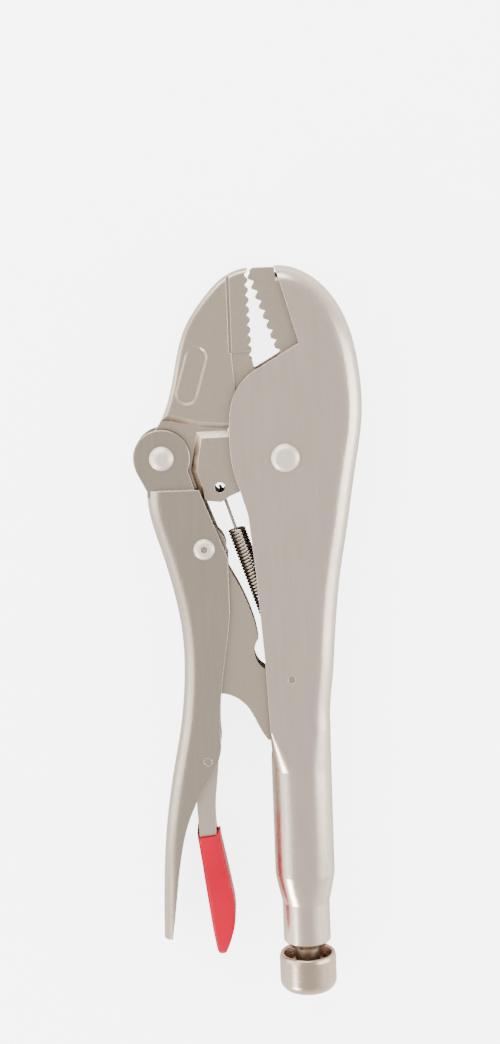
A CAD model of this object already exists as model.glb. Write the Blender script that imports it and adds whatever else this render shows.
import math

import bmesh
import bpy
from mathutils import Matrix, Vector


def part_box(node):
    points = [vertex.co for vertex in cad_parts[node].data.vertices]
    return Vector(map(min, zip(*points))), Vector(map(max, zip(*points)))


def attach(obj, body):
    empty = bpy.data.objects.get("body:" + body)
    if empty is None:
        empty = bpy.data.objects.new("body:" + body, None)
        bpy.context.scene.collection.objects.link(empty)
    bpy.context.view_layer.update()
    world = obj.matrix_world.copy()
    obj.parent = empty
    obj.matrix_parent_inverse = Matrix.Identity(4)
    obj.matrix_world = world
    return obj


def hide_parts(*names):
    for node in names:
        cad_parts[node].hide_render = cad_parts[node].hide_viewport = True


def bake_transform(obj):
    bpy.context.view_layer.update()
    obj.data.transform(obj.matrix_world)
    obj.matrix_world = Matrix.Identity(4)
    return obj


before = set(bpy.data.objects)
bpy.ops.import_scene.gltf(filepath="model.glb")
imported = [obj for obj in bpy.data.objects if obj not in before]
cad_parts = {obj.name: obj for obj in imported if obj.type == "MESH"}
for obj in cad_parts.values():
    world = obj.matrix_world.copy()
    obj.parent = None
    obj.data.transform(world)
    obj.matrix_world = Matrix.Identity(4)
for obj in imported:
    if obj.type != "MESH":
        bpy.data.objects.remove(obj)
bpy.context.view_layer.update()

MM = 0.001


# ---------------------------------------------------------------- places, read from the frame
def middle(node):
    """Centre of a CAD node's box."""
    low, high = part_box(node)
    return (low + high) / 2


MID = middle("fixed_handle").z
SPRING_PIN = middle("spring_pin")
HOLE = (-21.7 * MM, -9.3 * MM)  # spring hole in the moving jaw


# ---------------------------------------------------------------- materials
EDGE_RADIUS = 0.3 * MM
CREVICE_REACH = 4.0 * MM
GRIME_DARK = 0.42       # how dark the metal goes in corners, against its own shade
FLOOR_GLOW = 4.5
WORN_EDGE = (0.76, 0.645, 0.54, 1)


class Nodes:
    """Short way to write a shader. A value given to put is a number or another node's socket."""

    def __init__(self, name):
        self.material = bpy.data.materials.new(name)
        self.material.use_nodes = True
        self.tree = self.material.node_tree
        self.tree.nodes.clear()
        self.shader = self.make("ShaderNodeBsdfPrincipled")
        output = self.make("ShaderNodeOutputMaterial")
        self.tree.links.new(self.shader.outputs["BSDF"], output.inputs["Surface"])
        self.place = self.make("ShaderNodeTexCoord").outputs["Object"]

    def make(self, kind, **settings):
        node = self.tree.nodes.new(kind)
        for key, value in settings.items():
            setattr(node, key, value)
        return node

    def put(self, socket, value):
        if isinstance(value, bpy.types.NodeSocket):
            self.tree.links.new(value, socket)
        else:
            socket.default_value = value

    def stretch(self, scale):
        """Object coordinates scaled unevenly, for grain that runs one way."""
        mapping = self.make("ShaderNodeMapping")
        self.put(mapping.inputs["Vector"], self.place)
        mapping.inputs["Scale"].default_value = scale
        return mapping.outputs["Vector"]

    def noise(self, scale, detail=3.0, rough=0.55, place=None):
        node = self.make("ShaderNodeTexNoise")
        self.put(node.inputs["Vector"], place or self.place)
        node.inputs["Scale"].default_value = scale
        node.inputs["Detail"].default_value = detail
        node.inputs["Roughness"].default_value = rough
        return node.outputs["Fac"]

    def ramp(self, value, low, high, to_low, to_high):
        node = self.make("ShaderNodeMapRange")
        self.put(node.inputs["Value"], value)
        limits = {"From Min": low, "From Max": high, "To Min": to_low, "To Max": to_high}
        for key, number in limits.items():
            node.inputs[key].default_value = number
        return node.outputs["Result"]

    def mix(self, factor, first, second):
        node = self.make("ShaderNodeMix", data_type="RGBA")
        self.put(node.inputs[0], factor)
        self.put(node.inputs[6], first)
        self.put(node.inputs[7], second)
        return node.outputs[2]

    def math(self, kind, first, second):
        node = self.make("ShaderNodeMath", operation=kind)
        self.put(node.inputs[0], first)
        self.put(node.inputs[1], second)
        return node.outputs[0]

    def soft_edges(self, radius):
        """Normals rounded over a small radius, as on a tumbled and plated edge."""
        bevel = self.make("ShaderNodeBevel", samples=6)
        bevel.inputs["Radius"].default_value = radius
        return bevel.outputs["Normal"]

    def crevice(self, reach):
        """1 in the open, towards 0 in corners and under overlaps, where polish and light don't reach."""
        node = self.make("ShaderNodeAmbientOcclusion", samples=6)
        node.inputs["Distance"].default_value = reach
        return node.outputs["AO"]

    def bump(self, height, distance, strength=1.0, normal=None):
        node = self.make("ShaderNodeBump")
        node.inputs["Strength"].default_value = strength
        node.inputs["Distance"].default_value = distance
        self.put(node.inputs["Height"], height)
        if normal is not None:
            self.put(node.inputs["Normal"], normal)
        return node.outputs["Normal"]

    def edge(self, rounded):
        """1 on edges, 0 on flats: where the rounded normal leaves the face's own."""
        dot = self.make("ShaderNodeVectorMath", operation="DOT_PRODUCT")
        self.put(dot.inputs[0], rounded)
        self.put(dot.inputs[1], self.make("ShaderNodeNewGeometry").outputs["Normal"])
        return self.ramp(dot.outputs["Value"], 0.90, 0.995, 1.0, 0.0)


def satin_nickel(name, tone, shade, rough, grain=(1, 1, 1), brushed=0.12, edge=WORN_EDGE):
    """Satin nickel plate: warm grey, clouded a little, with fine grain along the part."""
    n = Nodes(name)
    cloud = n.noise(38.0, 4.0)
    fine = n.noise(900.0, 4.0, 0.6, n.stretch(grain))
    speck = n.noise(2600.0, 2.0)
    tint = n.mix(n.ramp(cloud, 0.3, 0.7, 0.0, 1.0), tone, shade)
    rounded = n.soft_edges(EDGE_RADIUS)
    worn = n.mix(n.edge(rounded), tint, edge)
    grime = n.ramp(n.crevice(CREVICE_REACH), 0.15, 0.85, 1.0, 0.0)
    dull = tuple(GRIME_DARK * c for c in shade[:3]) + (1,)
    n.put(n.shader.inputs["Base Color"], n.mix(grime, worn, dull))
    n.shader.inputs["Metallic"].default_value = 1.0
    base = n.ramp(cloud, 0.3, 0.7, rough - 0.04, rough + 0.05)
    streaks = n.ramp(fine, 0.3, 0.7, -brushed / 3, brushed / 3)
    n.put(n.shader.inputs["Roughness"], n.math("ADD", base, streaks))
    dents = n.bump(n.noise(120.0, 2.0), 0.00012, 0.35, rounded)
    n.put(n.shader.inputs["Normal"], n.bump(n.math("ADD", fine, speck), 0.00001, brushed * 4, dents))
    return n.material


def vinyl(name):
    """Dipped red vinyl: smooth skin with low sheen, clouded and slightly lumpy."""
    n = Nodes(name)
    cloud = n.noise(60.0, 3.0)
    n.put(n.shader.inputs["Base Color"],
          n.mix(n.ramp(cloud, 0.3, 0.7, 0.0, 1.0), (0.58, 0.0, 0.028, 1), (0.50, 0.0, 0.022, 1)))
    n.put(n.shader.inputs["Roughness"], n.ramp(n.noise(240.0), 0.3, 0.7, 0.20, 0.32))
    n.put(n.shader.inputs["Normal"], n.bump(n.noise(95.0, 2.0), 0.00025, 0.35))
    n.shader.inputs["Specular IOR Level"].default_value = 0.12
    return n.material


def floor_paint(name):
    """White light table, so that the gaps through the tool read as gaps. It doesn't light the metal."""
    n = Nodes(name)
    n.put(n.shader.inputs["Base Color"],
          n.mix(n.noise(3.0), (0.93, 0.93, 0.93, 1), (0.96, 0.96, 0.96, 1)))
    n.shader.inputs["Roughness"].default_value = 0.9
    n.shader.inputs["Emission Color"].default_value = (1.0, 1.0, 1.0, 1)
    seen = n.make("ShaderNodeLightPath").outputs["Is Camera Ray"]
    n.put(n.shader.inputs["Emission Strength"], n.ramp(seen, 0.0, 1.0, 0.0, FLOOR_GLOW))
    return n.material


ALONG_Y = (1.0, 0.06, 1.0)
ROUND_Y = (0.5, 1.6, 0.5)
sheet_nickel = satin_nickel("sheet_nickel", (0.80, 0.665, 0.54, 1), (0.72, 0.60, 0.485, 1), 0.27, ALONG_Y)
handle_nickel = satin_nickel("handle_nickel", (0.52, 0.43, 0.345, 1), (0.46, 0.38, 0.30, 1), 0.28, ALONG_Y)
forged_nickel = satin_nickel("forged_nickel", (0.62, 0.51, 0.405, 1), (0.54, 0.445, 0.35, 1), 0.31)
turned_nickel = satin_nickel("turned_nickel", (0.62, 0.48, 0.38, 1), (0.54, 0.41, 0.32, 1), 0.24, ROUND_Y)
rivet_steel = satin_nickel("rivet_steel", (0.95, 0.84, 0.73, 1), (0.88, 0.77, 0.66, 1), 0.52)
spring_steel = satin_nickel("spring_steel", (0.50, 0.43, 0.36, 1), (0.42, 0.36, 0.30, 1), 0.26)
thread_steel = satin_nickel("thread_steel", (0.55, 0.44, 0.35, 1), (0.45, 0.36, 0.28, 1), 0.30)
pin_nickel = satin_nickel("pin_nickel", (0.52, 0.43, 0.345, 1), (0.46, 0.38, 0.30, 1), 0.28,
                          edge=(0.49, 0.405, 0.32, 1))
red_vinyl = vinyl("red_vinyl")

FINISH = {
    "fixed_handle": sheet_nickel, "moving_handle": handle_nickel, "release_lever": sheet_nickel,
    "fixed_jaw": forged_nickel, "moving_jaw": forged_nickel, "toggle_link": forged_nickel,
    "main_rivet": rivet_steel, "jaw_handle_rivet": rivet_steel, "link_rivet": rivet_steel,
    "lever_pin": pin_nickel, "spring_pin": pin_nickel, "return_spring": spring_steel,
    "adjusting_screw": thread_steel, "screw_knob": turned_nickel, "lever_grip": red_vinyl,
}


def coat_cad_nodes():
    for name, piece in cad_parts.items():
        piece.data.materials.clear()
        piece.data.materials.append(FINISH[name])


# ---------------------------------------------------------------- detailed pieces
def mesh_piece(name, bm, material):
    """Object made from a bmesh, smooth, with a material."""
    bmesh.ops.recalc_face_normals(bm, faces=bm.faces)
    data = bpy.data.meshes.new(name)
    bm.to_mesh(data)
    bm.free()
    data.polygons.foreach_set("use_smooth", [True] * len(data.polygons))
    data.materials.append(material)
    piece = bpy.data.objects.new(name, data)
    bpy.context.scene.collection.objects.link(piece)
    return piece


def ring(bm, points):
    return [bm.verts.new(p) for p in points]


def bridge(bm, first, second):
    count = len(first)
    for i in range(count):
        j = (i + 1) % count
        bm.faces.new((first[i], first[j], second[j], second[i]))


def frames_along(points):
    """Two axes across a path at each of its points, carried along without twist."""
    tangents = [(b - a).normalized() for a, b in zip(points, points[1:])]
    tangents.append(tangents[-1])
    side = tangents[0].orthogonal().normalized()
    frames = []
    for tangent in tangents:
        side = (side - tangent * side.dot(tangent)).normalized()
        frames.append((side, tangent.cross(side)))
    return frames


def tube_along(bm, points, radius, sides=10):
    """Closed round wire along a path of points."""
    rings = []
    for point, (side, over) in zip(points, frames_along(points)):
        turns = [2 * math.pi * k / sides for k in range(sides)]
        rings.append(ring(bm, [point + (side * math.cos(t) + over * math.sin(t)) * radius
                               for t in turns]))
    for first, second in zip(rings, rings[1:]):
        bridge(bm, first, second)
    bm.faces.new(rings[0])
    bm.faces.new(rings[-1])


def smooth_path(points, per_span=8):
    """Catmull-Rom points through a few guide points."""
    guides = [points[0] * 2 - points[1], *points, points[-1] * 2 - points[-2]]
    path = []
    for i in range(1, len(guides) - 2):
        p0, p1, p2, p3 = guides[i - 1:i + 3]
        for k in range(per_span):
            t = k / per_span
            path.append(0.5 * (2 * p1 + (p2 - p0) * t + (2 * p0 - 5 * p1 + 4 * p2 - p3) * t * t
                               + (3 * p1 - p0 - 3 * p2 + p3) * t ** 3))
    path.append(points[-1])
    return path


# return spring
WIRE_R = 0.5 * MM
COIL_R = 2.5 * MM       # to the middle of the wire
COIL_PITCH = 1.12 * MM
COIL_FROM = 7.0 * MM    # from the spring pin
COIL_TO = 53.0 * MM
COIL_STEPS = 18         # points in one turn
PIN_LOOP_R = 1.9 * MM
LOOP_STEPS = 21
LOOP_START = 150        # degrees from the spring's axis
LOOP_SWEEP = 330
LOOP_RISE = 0.35 * MM
HOOK_RISE = 1.6 * MM


def make_spring():
    """Closely wound spring: a loop round the pin, the coil, and a hook into the moving jaw's hole."""
    hole = Vector((*HOLE, MID))
    pin = SPRING_PIN
    along = (hole - pin).normalized()
    up = Vector((0, 0, 1))
    across = along.cross(up)
    path = []
    for k in range(LOOP_STEPS + 1):
        turn = math.radians(LOOP_START - LOOP_SWEEP * k / LOOP_STEPS)
        path.append(pin + (along * math.cos(turn) + across * math.sin(turn)) * PIN_LOOP_R
                    + up * LOOP_RISE * (k / LOOP_STEPS - 0.5))
    path = path[::-1]
    entry = path[-1]
    start = pin + along * COIL_FROM + up * COIL_R
    lead_in = smooth_path([entry, entry.lerp(start, 0.45) + up * 0.4 * MM, start])[1:-1]
    path += lead_in
    turns = int((COIL_TO - COIL_FROM) / COIL_PITCH)
    for k in range(turns * COIL_STEPS + 1):
        angle = 2 * math.pi * k / COIL_STEPS
        reach = COIL_FROM + COIL_PITCH * k / COIL_STEPS
        path.append(pin + along * reach + (up * math.cos(angle) + across * math.sin(angle)) * COIL_R)
    last = path[-1]
    hook_base = hole - along * 5.0 * MM
    path += smooth_path([last, hook_base + up * 0.6 * MM, hole - along * 1.6 * MM,
                         hole - along * 0.3 * MM + up * 0.5 * MM, hole + up * HOOK_RISE])[1:]
    bm = bmesh.new()
    tube_along(bm, path, WIRE_R)
    spring = mesh_piece("coil_spring", bm, spring_steel)
    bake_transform(spring)
    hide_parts("return_spring")


# adjusting screw
THREAD_R = 5.0 * MM
ROOT_R = 4.25 * MM
THREAD_PITCH = 1.5 * MM
THREAD_END = -168.0 * MM
TIP_BEVEL = 1.3 * MM
NECK_R = 4.2 * MM
STEM_R = 3.6 * MM
STEM_FROM = -174.6 * MM
SCREW_SIDES = 48
ROWS_PER_TURN = 10


def thread_radius(depth, turn, tip, end):
    """Radius of the screw at a place along its axis, at an angle given in turns."""
    if depth < STEM_FROM:
        return STEM_R
    if depth < end:
        return NECK_R
    phase = (depth / THREAD_PITCH + turn) % 1.0
    ridge = min(1.0, max(0.0, 1.35 - abs(phase - 0.5) * 3.4))
    fade = min(1.0, (depth - end) / THREAD_PITCH)
    radius = ROOT_R + (THREAD_R - ROOT_R) * ridge * fade
    return min(radius, THREAD_R - TIP_BEVEL + (tip - depth))


def make_screw():
    """Screw with its helical thread, a plain neck, and the stem that the knob is pressed on."""
    low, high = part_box("adjusting_screw")
    axis_x = middle("adjusting_screw").x
    rows = int((high.y - low.y) / (THREAD_PITCH / ROWS_PER_TURN))
    bm = bmesh.new()
    previous = None
    for row in range(rows + 1):
        depth = high.y - (high.y - low.y) * row / rows
        points = []
        for k in range(SCREW_SIDES):
            turn = k / SCREW_SIDES
            radius = thread_radius(depth, turn, high.y, THREAD_END)
            angle = 2 * math.pi * turn
            points.append((axis_x + radius * math.cos(angle), depth, MID + radius * math.sin(angle)))
        current = ring(bm, points)
        if previous:
            bridge(bm, previous, current)
        else:
            bm.faces.new(current)
        previous = current
    bm.faces.new(previous)
    screw = mesh_piece("threaded_screw", bm, thread_steel)
    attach(screw, "adjusting_screw")
    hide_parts("adjusting_screw")


# red sleeve of the release lever, as rows of (y, left, right, half thickness) in mm
GRIP_ROWS = [(-127.2, -34.0, -26.2, 6.25), (-128.4, -33.9, -26.1, 6.3), (-130.0, -33.7, -25.9, 6.1),
             (-138.0, -32.7, -24.4, 6.15), (-147.0, -31.7, -22.8, 6.2), (-153.5, -30.9, -21.9, 6.2),
             (-160.0, -30.1, -22.4, 6.1), (-164.8, -29.4, -23.7, 5.9), (-167.8, -28.9, -24.8, 5.3),
             (-169.7, -28.3, -25.7, 4.0), (-170.7, -27.5, -26.6, 1.6)]
GRIP_SIDES = 48
GRIP_SQUARE = 6.5       # 2 is an ellipse, more is squarer
GRIP_WALL = 0.7 * MM
LIP_WAVE = 0.9 * MM


def grip_ring(bm, row, shrink=0.0, wave=0.0):
    y, left, right, half = (value * MM for value in row)
    centre, wide, tall = (left + right) / 2, (right - left) / 2 - shrink, half - shrink
    points = []
    for k in range(GRIP_SIDES):
        angle = 2 * math.pi * k / GRIP_SIDES
        c, s = math.cos(angle), math.sin(angle)
        power = 2 / GRIP_SQUARE
        points.append((centre + wide * math.copysign(abs(c) ** power, c),
                       y + wave * math.sin(2 * angle + 0.6),
                       MID + tall * math.copysign(abs(s) ** power, s)))
    return ring(bm, points)


def make_grip():
    """Dipped sleeve: uneven lip, flat sides with soft corners, a belly on the inner side, blunt tip."""
    rows = smooth_path([Vector(row) for row in GRIP_ROWS], 6)
    bm = bmesh.new()
    mouth = [(-128.1, -33.9, -26.2, 6.2), (-127.4, -33.9, -26.2, 6.2)]
    previous = grip_ring(bm, mouth[0], GRIP_WALL, LIP_WAVE)
    bm.faces.new(previous)
    lip = grip_ring(bm, mouth[1], GRIP_WALL * 0.8, LIP_WAVE)
    bridge(bm, previous, lip)
    previous = lip
    for row in rows:
        fade = max(0.0, 1 - (GRIP_ROWS[0][0] - row[0]) / 5)
        current = grip_ring(bm, row, 0.0, LIP_WAVE * fade)
        bridge(bm, previous, current)
        previous = current
    bm.faces.new(previous)
    grip = mesh_piece("dipped_grip", bm, red_vinyl)
    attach(grip, "release_lever")
    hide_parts("lever_grip")


# ---------------------------------------------------------------- stage, light and camera
WALL_TOP = 0.30  # height of a direction, 0 at the horizon and 1 straight up
CEILING = 0.85
WALL_GLOW = 1.7
CEILING_GLOW = 0.92


def make_stage():
    bpy.ops.mesh.primitive_plane_add(size=6.0, location=(0, -0.06, -0.0002))
    floor = bpy.context.object
    floor.name = "floor"
    floor.data.materials.append(floor_paint("floor_paint"))


def make_light(name, place, target, size, power):
    data = bpy.data.lights.new(name, "AREA")
    data.shape = "RECTANGLE"
    data.size, data.size_y = size
    data.energy = power
    lamp = bpy.data.objects.new(name, data)
    lamp.location = place
    lamp.rotation_euler = (Vector(target) - Vector(place)).to_track_quat("-Z", "Y").to_euler()
    bpy.context.scene.collection.objects.link(lamp)


def make_world():
    """Soft studio: a calm ceiling, brighter walls all round."""
    world = bpy.data.worlds.new("studio")
    bpy.context.scene.world = world
    world.use_nodes = True
    nodes, links = world.node_tree.nodes, world.node_tree.links
    split = nodes.new("ShaderNodeSeparateXYZ")
    links.new(nodes.new("ShaderNodeTexCoord").outputs["Generated"], split.inputs["Vector"])
    rise = nodes.new("ShaderNodeMapRange")
    rise.interpolation_type = "SMOOTHSTEP"
    limits = {"From Min": WALL_TOP, "From Max": CEILING, "To Min": WALL_GLOW, "To Max": CEILING_GLOW}
    for key, number in limits.items():
        rise.inputs[key].default_value = number
    links.new(split.outputs["Z"], rise.inputs["Value"])
    links.new(rise.outputs["Result"], nodes["Background"].inputs["Strength"])
    nodes["Background"].inputs["Color"].default_value = (1.0, 0.995, 0.985, 1)


def make_camera():
    """Above the tool, a little towards the jaws, rolled so that the handle leans as photographed."""
    data = bpy.data.cameras.new("camera")
    data.sensor_fit = "VERTICAL"
    data.sensor_height = 36.0
    data.lens = 63.1
    camera = bpy.data.objects.new("camera", data)
    eye = Vector((-9.0 * MM, 68.3 * MM, MID + 600 * MM))
    target = Vector((-12.3 * MM, -21.9 * MM, MID))
    up = Vector((0.0366, 0.9993, 0.0))
    back = (eye - target).normalized()
    right = up.cross(back).normalized()
    upward = back.cross(right)
    camera.matrix_world = Matrix.Translation(eye) @ Matrix((right, upward, back)).transposed().to_4x4()
    bpy.context.scene.collection.objects.link(camera)
    bpy.context.scene.camera = camera


coat_cad_nodes()
make_spring()
make_screw()
make_grip()
make_stage()
make_world()
make_light("top_soft", (-0.25, 0.75, 0.60), (0, -0.05, 0), (1.0, 0.5), 9.0)
make_light("low_left", (-0.75, -0.80, 0.45), (0, -0.12, 0), (0.35, 0.35), 9.0)
make_light("left_soft", (-0.95, -0.05, 0.45), (0, -0.06, 0), (0.6, 1.2), 6.0)
make_light("right_soft", (0.95, -0.1, 0.40), (0, -0.06, 0), (0.6, 1.2), 10.0)
make_camera()
